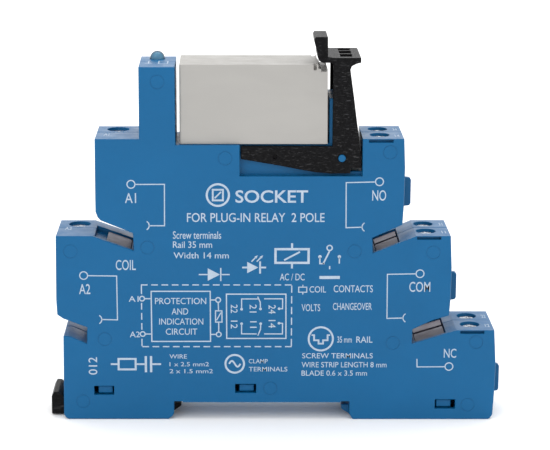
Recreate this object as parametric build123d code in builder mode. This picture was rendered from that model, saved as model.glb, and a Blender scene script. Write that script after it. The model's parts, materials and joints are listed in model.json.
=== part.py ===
from build123d import *
import os
from math import sin, cos, radians

os.makedirs("parts", exist_ok=True)

# Rail-mounted relay socket with its plug-in relay, all sizes in millimetres.
# X runs across the rail (coil terminals at -X, contact terminals at +X), Y is the
# module's thickness (front face at -Y), Z is up. Origin: middle of the rail seat.

# ---------------------------------------------------------------- driving sizes
DEPTH = 14.0                    # module thickness
Y_FRONT, Y_BACK = -DEPTH / 2, DEPTH / 2
Y_PART = 0.4                    # where the two housing shells meet
ROW_F, ROW_R = -2.65, 3.5       # front and rear terminal rows
SHEET_F, SHEET_R = -3.7, 3.7    # planes of the stamped contact strips
SHEET_T = 0.7                   # contact strip thickness
WALL_F, WALL_R = -5.75, 5.75    # inner faces of the two side walls
RAIL_HALF = 17.65               # half the rail slot width
Z_BOTTOM = -3.57                # underside of the feet
T_A1, T_A2 = 54.0, 34.49        # tier tops, coil side
T_NO, T_COM, T_NC = 54.04, 34.5, 15.12   # tier tops, contact side
X_A1, X_A2 = -28.7, -36.75      # screw axes, coil side
X_NO, X_COM, X_NC = 23.15, 32.7, 42.0    # screw axes, contact side
WELL_R, WELL_R_COIL = 1.95, 2.2 # screw well radii
Z_FLOOR = 52.8                  # floor the relay stands on
Z_RECESS = 46.55                # floor of the clip recess
BLOCK_Y = 5.4                   # half thickness of the socket block between the clip's cheeks
PIVOT_X, PIVOT_Z = 15.6, 50.09  # clip pivot
PIN_COIL_X, PIN_NC_X, PIN_COM_X, PIN_NO_X = -13.0, 0.0, 5.0, 10.0
PIN_W, PIN_T = 0.9, 0.6         # relay pin width (X) and thickness (Y)
RL_X0, RL_X1 = -16.25, 12.75    # relay cover, left and right ends
RL_Y0, RL_Y1 = -6.2, 6.3        # relay cover, front and back
RL_Z0, RL_Z1 = 52.85, 68.55     # relay cover, bottom and top


def at_y(y):
    """Plane parallel to the front face at depth y; sketches on it use X and Z."""
    return Plane.XZ.offset(-y)


def block(x0, x1, y0, y1, z0, z1, mode=Mode.ADD):
    """Rectangular block between the given limits."""
    with Locations(((x0 + x1) / 2, (y0 + y1) / 2, (z0 + z1) / 2)):
        Box(x1 - x0, y1 - y0, z1 - z0, mode=mode)


def slab(points, y0, y1, mode=Mode.ADD):
    """Flat plate with the given X-Z outline between two depths."""
    with BuildSketch(at_y(y1), mode=Mode.PRIVATE) as outline:
        with BuildLine():
            Polyline(*points, close=True)
        make_face()
    extrude(outline.sketch, amount=y1 - y0, dir=(0, -1, 0), mode=mode)


def post(x, y, z0, z1, r, mode=Mode.ADD):
    """Upright round post or hole."""
    with Locations((x, y, (z0 + z1) / 2)):
        Cylinder(r, z1 - z0, mode=mode)


def cross_rod(x, z, y0, y1, r, mode=Mode.ADD):
    """Round rod or hole along Y."""
    with Locations(Location((x, (y0 + y1) / 2, z), (90, 0, 0))):
        Cylinder(r, y1 - y0, mode=mode)


# ---------------------------------------------------------------- housing shells
OUTLINE = [
    (-24.15, 68.2), (-17.1, 68.2), (-17.04, Z_FLOOR), (-4.47, Z_FLOOR), (-4.47, Z_RECESS),
    (19.62, Z_RECESS), (19.6, T_NO), (27.75, T_NO), (28.0, 48.25), (27.92, 40.81), (27.69, 36.75),
    (21.8, 34.1), (21.95, 31.0), (30.22, 34.35), (30.4, T_COM), (37.33, T_COM),
    (37.65, 28.0), (37.58, 21.4), (37.35, 18.1), (34.18, 17.2), (30.1, 15.25), (30.07, 12.3),
    (38.8, 15.05), (39.0, T_NC), (46.51, T_NC), (46.96, 7.86), (46.85, 2.18), (46.6, -2.7),
    (46.1, -3.4), (45.6, Z_BOTTOM), (18.35, Z_BOTTOM), (17.7, -2.5), (17.7, 0.2),
    (15.9, 0.2), (15.9, 0.0), (-15.9, 0.0), (-15.9, 0.2), (-RAIL_HALF, 0.2), (-RAIL_HALF, -2.2),
    (-17.95, -2.95), (-18.9, Z_BOTTOM), (-38.9, Z_BOTTOM), (-39.55, -3.2), (-39.85, -2.5),
    (-39.7, 13.9), (-38.3, 13.8), (-35.0, 12.3), (-34.9, 15.66), (-38.37, 17.0), (-39.6, 17.45),
    (-40.85, 18.3), (-41.0, 21.4), (-40.85, T_A2), (-33.8, T_A2), (-25.4, 31.5), (-25.55, 35.04),
    (-31.97, 37.66), (-32.5, 38.3), (-32.89, 39.4), (-32.9, 41.8), (-32.85, T_A1), (-24.15, T_A1),
]
# floors of the bridging grooves: left or right end, then slope line
GROOVES = {
    "a2": ((-33.2, 34.28), (-25.9, 31.68)),
    "com": ((22.5, 31.22), (27.3, 33.17)),
    "nc": ((30.7, 12.5), (36.9, 14.45)),
}
TERMINALS = {  # name: (screw x, row y, tier top, well radius, outward direction)
    "14": (X_NO, ROW_F, T_NO, WELL_R, 1),
    "24": (X_NO, ROW_R, T_NO, WELL_R, 1),
    "11": (X_COM, ROW_F, T_COM, WELL_R, 1),
    "21": (X_COM, ROW_R, T_COM, WELL_R, 1),
    "12": (X_NC, ROW_F, T_NC, WELL_R, 1),
    "22": (X_NC, ROW_R, T_NC, WELL_R, 1),
    "a1": (X_A1, ROW_R, T_A1, WELL_R_COIL, -1),
    "a2": (X_A2, ROW_R, T_A2, WELL_R_COIL, -1),
}
EJECTOR_MARKS = [(-20.5, 65.3), (-7.3, 50.2), (-37.95, 31.4), (-22.7, 32.2), (-31.4, 13.3),
                 (-35.95, 0.25), (1.75, 3.0), (25.0, 51.4), (18.3, 31.4), (33.9, 31.2), (26.2, 12.5),
                 (42.9, 12.7), (41.5, -0.5)]


def housing_cavities():
    """Everything hollowed out of both shells."""
    cut = Mode.SUBTRACT
    # routing space in the middle
    block(-23.5, 18.1, WALL_F, WALL_R, 1.9, 45.3, cut)
    # socket space under the relay, narrower between the clip's cheeks
    block(-16.0, -5.7, WALL_F, WALL_R, 45.2, 51.5, cut)
    block(-5.8, 12.2, -4.3, 4.3, 45.2, 51.5, cut)
    # tower for the indicator board
    block(-22.9, -18.2, WALL_F, WALL_R, 45.2, 67.0, cut)
    # coil side chambers
    block(-31.6, -23.4, WALL_F, WALL_R, T_A1 - 15.2, T_A1 - 4.6, cut)
    block(-39.7, -34.2, WALL_F, WALL_R, T_A2 - 15.2, T_A2 - 4.6, cut)
    block(-34.7, -23.4, WALL_F, WALL_R, T_A2 - 15.2, 28.6, cut)
    block(-38.4, -23.4, WALL_F, WALL_R, 1.5, 10.9, cut)
    # contact side chambers: one per terminal, with a rib between the two rows
    for y0, y1 in ((ROW_F - 2.45, ROW_F + 2.45), (ROW_R - 2.45, ROW_R + 2.25)):
        block(20.8, 26.7, y0, y1, T_NO - 15.2, T_NO - 4.6, cut)
        block(18.0, 20.9, y0, y1, T_NO - 15.2, 45.3, cut)
        block(29.8, 36.2, y0, y1, T_COM - 15.2, T_COM - 4.6, cut)
        block(18.0, 29.9, y0, y1, T_COM - 15.2, 28.6, cut)
        block(39.1, 45.4, y0, y1, T_NC - 15.2, T_NC - 4.6, cut)
        block(18.0, 39.2, y0, y1, T_NC - 15.2, 9.4, cut)
    block(20.0, 44.6, WALL_F, Y_PART - 0.6, -2.3, -0.9, cut)
    # screw wells, screw holes in the chamber roofs and wire entries
    for x, y, t, r, out in TERMINALS.values():
        post(x, y, t - 3.4, t + 0.5, r, cut)
        post(x, y, t - 4.8, t - 3.2, 1.45, cut)
        if out > 0:
            block(x + 2.5, x + 6.5, y - 1.9, y + 1.9, t - 14.6, t - 9.5, cut)
            block(x + 4.55, x + 6.5, y - 2.3, y + 2.3, t - 14.95, t - 9.15, cut)
        else:
            block(x - 6.5, x - 2.0, y - 2.0, y + 2.0, t - 14.6, t - 9.5, cut)
            block(x - 6.5, x - 3.85, y - 2.4, y + 2.4, t - 14.95, t - 9.15, cut)
    # slots for the relay's pins
    for x in (PIN_COIL_X, PIN_NC_X, PIN_COM_X, PIN_NO_X):
        for y in (SHEET_F, SHEET_R):
            block(x - 0.85, x + 0.85, y - 0.6, y + 0.6, 51.0, 54.0, cut)
    # channel of the rail latch, open below along its middle
    block(-42.0, -17.0, -4.5, 4.5, -3.0, 0.5, cut)
    block(-38.0, -17.0, -2.6, 2.6, -4.0, -2.9, cut)
    # trenches in the bridging grooves
    for name, ((xa, za), (xb, zb)) in GROOVES.items():
        # each trench: depth span along Y, and its depth
        spans = [(-5.8, 2.8, 1.1)] if name == "a2" else [(-5.8, 0.0, 1.1), (-0.1, 0.75, 0.8), (0.65, 4.9, 1.1)]
        for y0, y1, deep in spans:
            slab([(xa, za - deep), (xb, zb - deep), (xb, zb + 0.8), (xa, za + 0.8)], y0, y1, cut)
    # slots for the risers of the jumper lands
    for rx, rz in ((23.5, 28.0), (32.0, 9.0)):
        for y in (SHEET_F, SHEET_R):
            block(rx - 0.15, rx + 1.15, y - 0.5, y + 0.5, rz, rz + 3.6, cut)
    block(-30.15, -28.85, SHEET_F - 0.5, SHEET_F + 0.5, 28.2, 32.6, cut)


def cheek_space(y0, y1):
    """Space beside the socket block where a cheek of the clip swings."""
    block(-4.47, 19.62, y0, y1, Z_RECESS, 60.0, Mode.SUBTRACT)


def socket_block(y0, y1):
    """Socket block under the relay, and the post behind the relay that the clip straddles."""
    slab([(-4.6, Z_RECESS - 1.0), (-4.6, Z_FLOOR), (16.4, Z_FLOOR), (16.4, 47.3), (19.8, 47.3),
          (19.8, Z_RECESS - 1.0)], y0, y1)
    slab([(13.05, 52.0), (13.05, 61.8), (14.9, 61.8), (15.1, 52.0)], y0, y1)


with BuildPart() as housing_front_shell:
    with BuildSketch(at_y(Y_PART)):
        with BuildLine():
            Polyline(*OUTLINE, close=True)
        make_face()
    extrude(amount=Y_PART - Y_FRONT)
    socket_block(-BLOCK_Y, Y_PART)
    # fixed rail hook
    slab([(16.2, -1.25), (18.0, -1.25), (18.6, -3.5), (18.2, -3.5), (16.2, -2.2)], -4.4, Y_PART)
    # insulating fins between the wire entries
    for fx, ft in ((27.8, T_NO), (37.4, T_COM), (46.6, T_NC)):
        slab([(fx, ft - 15.1), (fx + 1.7, ft - 14.9), (fx + 2.0, ft - 14.5), (fx + 2.0, ft - 9.6),
              (fx + 1.7, ft - 9.2), (fx, ft - 9.0)], Y_PART - 0.55, Y_PART)
    block(27.8, 28.3, Y_PART - 1.0, Y_PART, 46.6, 48.1)
    housing_cavities()
    # clip trunnion, and the plate of the socket block that carries it
    cross_rod(PIVOT_X, PIVOT_Z, -6.75, -4.4, 0.72)
    # marker tag slots close under the top edges
    for sx, st in ((20.82, T_NO), (30.6, T_COM), (39.7, T_NC)):
        block(sx, sx + 4.8, Y_FRONT - 0.5, Y_FRONT + 0.95, st - 0.74, st - 0.13, Mode.SUBTRACT)
    # snap windows
    for wx0, wx1, wz0, wz1 in ((-33.7, -29.7, 1.55, 3.45), (-5.34, -1.11, 1.95, 3.85), (34.95, 39.0, -1.38, 0.57)):
        block(wx0, wx1, Y_FRONT - 0.5, Y_PART, wz0, wz1, Mode.SUBTRACT)
    # ejector pin marks
    for mx, mz in EJECTOR_MARKS:
        with BuildSketch(at_y(Y_FRONT + 0.06)):
            with Locations((mx, mz)):
                Circle(1.4)
                Circle(1.28, mode=Mode.SUBTRACT)
        extrude(amount=0.3, mode=Mode.SUBTRACT)
housing_front_shell.part.label = "housing_front_shell"
export_step(housing_front_shell.part, "parts/housing_front_shell.step")

with BuildPart() as housing_rear_shell:
    with BuildSketch(at_y(Y_BACK)):
        with BuildLine():
            Polyline(*OUTLINE, close=True)
        make_face()
    extrude(amount=Y_BACK - Y_PART)
    socket_block(Y_PART, BLOCK_Y)
    slab([(16.2, -1.25), (18.0, -1.25), (18.6, -3.5), (18.2, -3.5), (16.2, -2.2)], Y_PART, 4.4)
    for fx, ft in ((27.8, T_NO), (37.4, T_COM), (46.6, T_NC)):
        slab([(fx, ft - 15.1), (fx + 1.7, ft - 14.9), (fx + 2.0, ft - 14.5), (fx + 2.0, ft - 9.6),
              (fx + 1.7, ft - 9.2), (fx, ft - 9.0)], Y_PART, Y_PART + 0.55)
    housing_cavities()
    cross_rod(PIVOT_X, PIVOT_Z, 4.4, 6.75, 0.72)
    # hole for the indicator lens
    post(-20.8, 4.0, 66.5, 69.0, 1.55, Mode.SUBTRACT)
    # snap hooks that reach through to the front windows
    for hx0, hx1, hz0, hz1 in ((-32.9, -29.95, 1.7, 3.3), (-4.5, -1.5, 2.1, 3.6), (35.2, 38.2, -1.2, 0.4)):
        slab([(hx0, hz0), (hx1, hz0), (hx1, hz1), (hx0, hz1)], -6.3, 6.2)
    # ejector pin marks
    for mx, mz in EJECTOR_MARKS:
        with BuildSketch(at_y(Y_BACK + 0.3)):
            with Locations((mx, mz)):
                Circle(1.4)
                Circle(1.28, mode=Mode.SUBTRACT)
        extrude(amount=0.36, mode=Mode.SUBTRACT)
housing_rear_shell.part.label = "housing_rear_shell"
export_step(housing_rear_shell.part, "parts/housing_rear_shell.step")

# ---------------------------------------------------------------- rail latch
with BuildPart() as rail_latch:
    # finger block outside the housing, with a sloping top
    slab([(-42.55, -3.3), (-40.05, -3.3), (-40.05, 0.35), (-41.2, 1.35), (-42.05, 1.35), (-42.55, 0.4)], -4.4, 4.4)
    # slider inside the channel
    block(-40.4, -21.0, -4.2, 4.2, -2.75, 0.25)
    slab([(-21.2, -2.75), (-17.6, -2.75), (-16.25, -1.75), (-16.25, -1.3), (-17.85, -1.3), (-17.85, 0.25),
          (-21.2, 0.25)], -3.9, 3.9)
    # weight-saving window with its spring finger
    block(-36.0, -24.0, -2.6, 2.6, -4.0, 1.0, Mode.SUBTRACT)
    block(-36.2, -26.0, -0.5, 0.5, -2.3, -0.4)
    # screwdriver slot in the end face
    block(-43.0, -41.6, -2.2, 2.2, -2.0, -1.1, Mode.SUBTRACT)
rail_latch.part.label = "rail_latch"
export_step(rail_latch.part, "parts/rail_latch.step")

# ---------------------------------------------------------------- retaining and ejecting clip
CHEEK = [(-4.2, 52.5), (-4.2, 49.92), (3.48, 48.6), (7.4, 47.82), (10.36, 47.3), (13.4, 47.02), (17.3, 47.05),
         (17.39, 48.17), (19.38, 48.17), (19.25, 50.5), (18.92, 54.15), (18.4, 57.7), (17.88, 61.67), (17.32, 65.6),
         (17.04, 67.6), (17.3, 68.3), (18.2, 68.75), (19.1, 69.0), (19.1, 69.95), (13.7, 69.95), (13.7, 52.45),
         (12.9, 52.45)]
with BuildPart() as retaining_clip:
    slab(CHEEK, -6.6, -5.6)
    slab(CHEEK, 5.6, 6.6)
    # web joining the cheeks along the outer edge
    slab([(18.3, 48.17), (19.38, 48.17), (19.25, 50.5), (18.92, 54.15), (18.4, 57.7), (17.88, 61.67), (17.32, 65.6),
          (17.04, 67.6), (17.04, 69.0), (15.9, 69.0), (16.2, 65.6), (16.75, 61.67), (17.3, 57.7), (17.85, 54.15), (18.2, 50.5)],
         -5.7, 5.7)
    # top plate and marker windows
    block(13.0, 19.1, -6.6, 6.85, 68.95, 69.95)
    for wy0, wy1 in ((-4.9, -1.6), (-0.6, 2.7), (3.5, 5.9)):
        block(15.15, 17.5, wy0, wy1, 69.25, 71.0, Mode.SUBTRACT)
    # nose over the relay and the finger tab
    slab([(11.6, 68.98), (13.8, 68.98), (13.8, 69.95), (12.65, 70.1), (12.62, 74.0), (10.25, 74.0), (9.98, 73.6),
          (10.15, 72.4), (10.6, 70.9), (10.65, 70.0), (10.9, 69.4)], -6.55, 2.2)
    slab([(11.6, 68.98), (13.8, 68.98), (13.8, 69.95), (11.0, 69.95), (10.8, 69.6), (10.9, 69.4)], -6.6, 6.85)
    # bore on the housing's trunnions, and a moulding hole
    cross_rod(PIVOT_X, PIVOT_Z, -7.0, 7.0, 0.79, Mode.SUBTRACT)
    cross_rod(2.45, 50.35, -7.0, -6.1, 0.45, Mode.SUBTRACT)
    cross_rod(2.45, 50.35, 6.1, 7.0, 0.45, Mode.SUBTRACT)
retaining_clip.part.label = "retaining_clip"
export_step(retaining_clip.part, "parts/retaining_clip.step")

# ---------------------------------------------------------------- indicator
with BuildPart() as led_lens:
    post(-20.8, 4.0, 65.9, 66.85, 1.7)
    post(-20.8, 4.0, 66.8, 68.3, 1.47)
    with Locations((-20.8, 4.0, 68.3)):
        Sphere(1.47)
    post(-20.8, 4.0, 65.5, 67.75, 1.15, Mode.SUBTRACT)
    with Locations((-20.8, 4.0, 67.75)):
        Sphere(1.15, mode=Mode.SUBTRACT)
led_lens.part.label = "led_lens"
export_step(led_lens.part, "parts/led_lens.step")

with BuildPart() as led:
    post(-20.8, 4.0, 64.7, 67.6, 1.0)
    with Locations((-20.8, 4.0, 67.6)):
        Sphere(1.0)
    post(-20.8, 4.0, 64.3, 64.8, 1.3)
    block(-21.5, -21.2, 3.05, 3.4, 62.3, 64.5)
    block(-20.4, -20.1, 3.05, 3.4, 62.3, 64.5)
led.part.label = "led"
export_step(led.part, "parts/led.step")

with BuildPart() as circuit_board:
    block(-22.6, -18.5, 1.9, 2.95, 38.5, 64.2)
circuit_board.part.label = "circuit_board"
export_step(circuit_board.part, "parts/circuit_board.step")

with BuildPart() as series_resistor:
    with Locations((-20.5, 0.55, 57.5)):
        Cylinder(1.15, 6.2)
        Cylinder(1.3, 1.2)
    for bz in (52.9, 62.1):
        block(-20.75, -20.25, 0.3, 1.9, bz - 0.25, bz + 0.25)
    block(-20.75, -20.25, 0.3, 0.8, 52.65, 54.5)
    block(-20.75, -20.25, 0.3, 0.8, 60.5, 62.35)
series_resistor.part.label = "series_resistor"
export_step(series_resistor.part, "parts/series_resistor.step")

with BuildPart() as freewheel_diode:
    with Locations((-20.5, 0.45, 46.5)):
        Cylinder(1.25, 4.8)
    for bz in (42.6, 50.4):
        block(-20.75, -20.25, 0.2, 1.9, bz - 0.25, bz + 0.25)
    block(-20.75, -20.25, 0.2, 0.7, 42.35, 44.2)
    block(-20.75, -20.25, 0.2, 0.7, 48.8, 50.65)
freewheel_diode.part.label = "freewheel_diode"
export_step(freewheel_diode.part, "parts/freewheel_diode.step")

# ---------------------------------------------------------------- contact strips
CLEAR = 0.07                    # clearance of a relay pin in its fork
FORK_W = 2.0                    # width of the fork end of a strip
LAND = {  # jumper land: groove, riser start, depth span
    "11": ("com", 23.5, -5.6, -0.2), "21": ("com", 23.5, 0.85, 4.7),
    "12": ("nc", 32.0, -5.6, -0.2), "22": ("nc", 32.0, 0.85, 4.7),
}


def groove_z(name, x):
    """Height of a bridging groove's floor at x."""
    (xa, za), (xb, zb) = GROOVES[name]
    return za + (zb - za) * (x - xa) / (xb - xa)


for name, pin_x, x_in, x_out, tongue_y, sheet_y, t in (
    ("14", PIN_NO_X, 20.6, 26.0, ROW_F, SHEET_F, T_NO),
    ("24", PIN_NO_X, 20.6, 26.0, ROW_R, SHEET_R, T_NO),
    ("11", PIN_COM_X, 30.2, 35.5, ROW_F, SHEET_F, T_COM),
    ("21", PIN_COM_X, 30.2, 35.5, ROW_R, SHEET_R, T_COM),
    ("12", PIN_NC_X, 39.5, 44.8, ROW_F, SHEET_F, T_NC),
    ("22", PIN_NC_X, 39.5, 44.8, ROW_R, SHEET_R, T_NC),
    ("a1", PIN_COIL_X, -26.2, -31.2, ROW_R, SHEET_R, T_A1),
):
    zt = t - 9.6
    y0, y1 = sheet_y - SHEET_T / 2, sheet_y + SHEET_T / 2
    left, right = pin_x - FORK_W / 2, pin_x + FORK_W / 2
    with BuildPart() as strip:
        # level run, upright run and tongue
        block(min(left, x_in), max(right, x_in), y0, y1, zt - 1.8, zt)
        block(left, right, y0, y1, zt - 1.8, 51.3)
        block(min(x_in, x_out) - 0.2, max(x_in, x_out), tongue_y - 1.45, tongue_y + 1.45, zt - 0.8, zt)
        # fork slot for the relay pin
        block(pin_x - PIN_W / 2 - CLEAR, pin_x + PIN_W / 2 + CLEAR, y0 - 0.2, y1 + 0.2, 47.2, 52.0, Mode.SUBTRACT)
        if name in LAND:
            groove, rx, ya, yb = LAND[name]
            (xa, za), (xb, zb) = GROOVES[groove]
            block(rx, rx + 1.0, y0, y1, zt - 1.0, groove_z(groove, rx) - 0.7)
            slab([(xa + 0.2, groove_z(groove, xa + 0.2) - 1.0), (xb - 0.2, groove_z(groove, xb - 0.2) - 1.0),
                  (xb - 0.2, groove_z(groove, xb - 0.2) - 0.35), (xa + 0.2, groove_z(groove, xa + 0.2) - 0.35)], ya, yb)
    strip.part.label = "contact_strip_" + name
    export_step(strip.part, "parts/contact_strip_" + name + ".step")

# the second coil strip crosses from the rear row to the front pin
with BuildPart() as contact_strip_a2:
    zt = T_A2 - 9.6
    block(-39.3, -33.5, ROW_R - 1.45, ROW_R + 1.45, zt - 0.8, zt)
    block(-34.0, -32.2, SHEET_F - SHEET_T / 2, ROW_R + 1.45, zt - 0.8, zt)
    block(-34.0, PIN_COIL_X + 1.0, SHEET_F - SHEET_T / 2, SHEET_F + SHEET_T / 2, zt - 1.8, zt)
    block(PIN_COIL_X - 1.0, PIN_COIL_X + 1.0, SHEET_F - SHEET_T / 2, SHEET_F + SHEET_T / 2, zt - 1.8, 51.3)
    block(PIN_COIL_X - PIN_W / 2 - CLEAR, PIN_COIL_X + PIN_W / 2 + CLEAR, SHEET_F - 1, SHEET_F + 1, 47.2, 52.0,
          Mode.SUBTRACT)
    block(-30.0, -29.0, SHEET_F - SHEET_T / 2, SHEET_F + SHEET_T / 2, zt - 1.0, groove_z("a2", -29.0) - 0.7)
    slab([(-30.9, groove_z("a2", -30.9) - 1.0), (-26.1, groove_z("a2", -26.1) - 1.0),
          (-26.1, groove_z("a2", -26.1) - 0.35), (-30.9, groove_z("a2", -30.9) - 0.35)], -5.6, 2.6)
contact_strip_a2.part.label = "contact_strip_a2"
export_step(contact_strip_a2.part, "parts/contact_strip_a2.step")

# ---------------------------------------------------------------- terminal screws and rising clamps
SCREW_PITCH = 0.5
SHANK_R = 1.2
for name, (sx, sy, t, well, out) in TERMINALS.items():
    head_r = 1.72 if out > 0 else 1.95
    sunk = 0.52 if out > 0 else 0.60
    with BuildPart() as screw:
        post(sx, sy, t - 3.2, t - sunk, head_r)
        chamfer(screw.edges().group_by(Axis.Z)[-1], 0.25)
        post(sx, sy, t - 9.57, t - 3.1, SHANK_R)
        chamfer(screw.edges().group_by(Axis.Z)[0], 0.3)
        # combined slot and cross drive
        block(sx - head_r - 0.1, sx + head_r + 0.1, sy - 0.24, sy + 0.24, t - sunk - 1.0, t, Mode.SUBTRACT)
        block(sx - 0.24, sx + 0.24, sy - 1.05, sy + 1.05, t - sunk - 1.1, t, Mode.SUBTRACT)
    screw.part.label = "terminal_screw_" + name
    export_step(screw.part, "parts/terminal_screw_" + name + ".step")

    with BuildPart() as clamp:
        block(sx - 2.2, sx + 2.2, sy - 2.15, sy + 2.15, t - 14.2, t - 7.8)
        # window for the tongue and the wire
        block(sx - 3.0, sx + 3.0, sy - 1.6, sy + 1.6, t - 13.4, t - 9.0, Mode.SUBTRACT)
        post(sx, sy, t - 10.0, t - 7.0, SHANK_R + 0.08, Mode.SUBTRACT)
        # gripping teeth across the clamp's floor
        for dx in (-1.3, 0.0, 1.3):
            slab([(sx + dx - 0.25, t - 13.45), (sx + dx + 0.25, t - 13.45), (sx + dx, t - 13.2)], sy - 1.6, sy + 1.6)
    clamp.part.label = "wire_clamp_" + name
    export_step(clamp.part, "parts/wire_clamp_" + name + ".step")

# ---------------------------------------------------------------- plug-in relay
CY = (RL_Y0 + RL_Y1) / 2
with BuildPart() as relay_cover:
    with BuildSketch(at_y(RL_Y1)):
        with BuildLine():
            Polyline((RL_X0, RL_Z0), (RL_X0, RL_Z1), (10.85, RL_Z1), (10.85, 67.72), (RL_X1 - 0.1, 67.62),
                     (RL_X1, RL_Z0), close=True)
        make_face()
    extrude(amount=RL_Y1 - RL_Y0)
    fillet(relay_cover.edges().filter_by(Axis.Z).group_by(Axis.X)[0], 0.5)
    block(RL_X0 + 0.8, 8.7, RL_Y0 + 0.8, RL_Y1 - 0.8, RL_Z0 - 1, 67.5, Mode.SUBTRACT)
    block(8.6, RL_X1 - 0.9, RL_Y0 + 0.8, RL_Y1 - 0.8, RL_Z0 - 1, 66.7, Mode.SUBTRACT)
    # recesses beside and under the clip's nose
    block(9.9, 10.5, RL_Y0 - 0.5, RL_Y0 + 1.3, 67.45, 69.0, Mode.SUBTRACT)
    block(9.9, 10.5, RL_Y1 - 1.3, RL_Y1 + 0.5, 67.45, 69.0, Mode.SUBTRACT)
    block(11.35, 12.45, RL_Y0 - 0.5, RL_Y1 + 0.5, 67.2, 68.2, Mode.SUBTRACT)
relay_cover.part.label = "relay_cover"
export_step(relay_cover.part, "parts/relay_cover.step")

BASE_Z = 54.6
with BuildPart() as relay_base:
    block(RL_X0 + 0.85, RL_X1 - 0.95, RL_Y0 + 0.85, RL_Y1 - 0.85, 52.95, BASE_Z)
    for px in (PIN_COIL_X, PIN_NC_X, PIN_COM_X, PIN_NO_X):
        for py in (SHEET_F, SHEET_R):
            block(px - PIN_W / 2 - 0.02, px + PIN_W / 2 + 0.02, py - PIN_T / 2 - 0.02, py + PIN_T / 2 + 0.02,
                  52.0, 55.0, Mode.SUBTRACT)
relay_base.part.label = "relay_base"
export_step(relay_base.part, "parts/relay_base.step")

PIN_TIP = 48.4


def relay_pin(px, py, top):
    """Flat relay pin with a bevelled tip."""
    slab([(px - PIN_W / 2, PIN_TIP + 0.35), (px - 0.25, PIN_TIP), (px + 0.25, PIN_TIP), (px + PIN_W / 2, PIN_TIP + 0.35),
          (px + PIN_W / 2, top), (px - PIN_W / 2, top)], py - PIN_T / 2, py + PIN_T / 2)


with BuildPart() as relay_coil_pins:
    for py in (SHEET_F, SHEET_R):
        relay_pin(PIN_COIL_X, py, 54.85)
relay_coil_pins.part.label = "relay_coil_pins"
export_step(relay_coil_pins.part, "parts/relay_coil_pins.step")

BTN_Z = 63.0                    # height of the contact buttons
with BuildPart() as contact_nc_posts:
    for py in (SHEET_F, SHEET_R):
        relay_pin(PIN_NC_X, py, 55.15)
        block(PIN_NC_X - 0.45, 3.6, py - 0.9, py + 0.9, 54.65, 55.15)
        block(3.3, 3.6, py - 0.9, py + 0.9, 54.65, 64.2)
        with Locations(Location((3.85, py, BTN_Z), (0, 90, 0))):
            Cylinder(0.8, 0.7)
contact_nc_posts.part.label = "contact_nc_posts"
export_step(contact_nc_posts.part, "parts/contact_nc_posts.step")

with BuildPart() as contact_no_posts:
    for py in (SHEET_F, SHEET_R):
        relay_pin(PIN_NO_X, py, 55.15)
        block(6.9, PIN_NO_X + 0.45, py - 0.9, py + 0.9, 54.65, 55.15)
        block(6.9, 7.2, py - 0.9, py + 0.9, 54.65, 64.2)
        with Locations(Location((6.6, py, BTN_Z), (0, 90, 0))):
            Cylinder(0.8, 0.7)
contact_no_posts.part.label = "contact_no_posts"
export_step(contact_no_posts.part, "parts/contact_no_posts.step")

with BuildPart() as contact_com_pins:
    for py in (SHEET_F, SHEET_R):
        relay_pin(PIN_COM_X, py, 54.85)
contact_com_pins.part.label = "contact_com_pins"
export_step(contact_com_pins.part, "parts/contact_com_pins.step")

for name, py in (("front", SHEET_F), ("rear", SHEET_R)):
    with BuildPart() as blade:
        block(4.8, 5.1, py - 0.9, py + 0.9, 55.0, 66.1)
        block(4.8, 5.1, py - 0.6, py + 0.6, 54.95, 55.4)
        with Locations(Location((4.98, py, BTN_Z), (0, 90, 0))):
            Cylinder(0.75, 1.24)
    blade.part.label = "contact_blade_" + name
    export_step(blade.part, "parts/contact_blade_" + name + ".step")

COIL_Z = 60.3
with BuildPart() as coil_bobbin:
    for x0, x1 in ((-13.1, -12.2), (-3.4, -2.5)):
        block(x0, x1, CY - 4.6, CY + 4.6, COIL_Z - 4.3, COIL_Z + 4.7)
    with Locations(Location((-7.8, CY, COIL_Z), (0, 90, 0))):
        Cylinder(2.1, 9.4)
        Cylinder(1.55, 14.0, mode=Mode.SUBTRACT)
coil_bobbin.part.label = "coil_bobbin"
export_step(coil_bobbin.part, "parts/coil_bobbin.step")

with BuildPart() as coil_winding:
    with Locations(Location((-7.8, CY, COIL_Z), (0, 90, 0))):
        Cylinder(4.1, 8.76)
        Cylinder(2.12, 10.0, mode=Mode.SUBTRACT)
coil_winding.part.label = "coil_winding"
export_step(coil_winding.part, "parts/coil_winding.step")

with BuildPart() as coil_core:
    with Locations(Location((-7.7, CY, COIL_Z), (0, 90, 0))):
        Cylinder(1.5, 10.6)
    with Locations(Location((-13.32, CY, COIL_Z), (0, 90, 0))):
        Cylinder(2.4, 0.4)
    with Locations(Location((-13.0, CY, COIL_Z), (0, 90, 0))):
        Cylinder(1.5, 0.6)
coil_core.part.label = "coil_core"
export_step(coil_core.part, "parts/coil_core.step")

with BuildPart() as yoke:
    block(-13.85, -1.35, CY - 3.0, CY + 3.0, 54.65, 55.75)
    block(-2.4, -1.35, CY - 3.6, CY + 3.6, 54.65, 64.4)
    with Locations(Location((-1.9, CY, COIL_Z), (0, 90, 0))):
        Cylinder(1.5, 3.0, mode=Mode.SUBTRACT)
yoke.part.label = "yoke"
export_step(yoke.part, "parts/yoke.step")

with BuildPart() as armature:
    block(-15.0, -14.1, CY - 3.4, CY + 3.4, 55.0, 66.6)
    block(-15.2, -13.9, CY - 1.0, CY + 1.0, 65.0, 66.0, Mode.SUBTRACT)
armature.part.label = "armature"
export_step(armature.part, "parts/armature.step")

with BuildPart() as armature_spring:
    block(-15.2, -15.0, CY - 1.6, CY + 1.6, 55.2, 61.5)
armature_spring.part.label = "armature_spring"
export_step(armature_spring.part, "parts/armature_spring.step")

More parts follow.
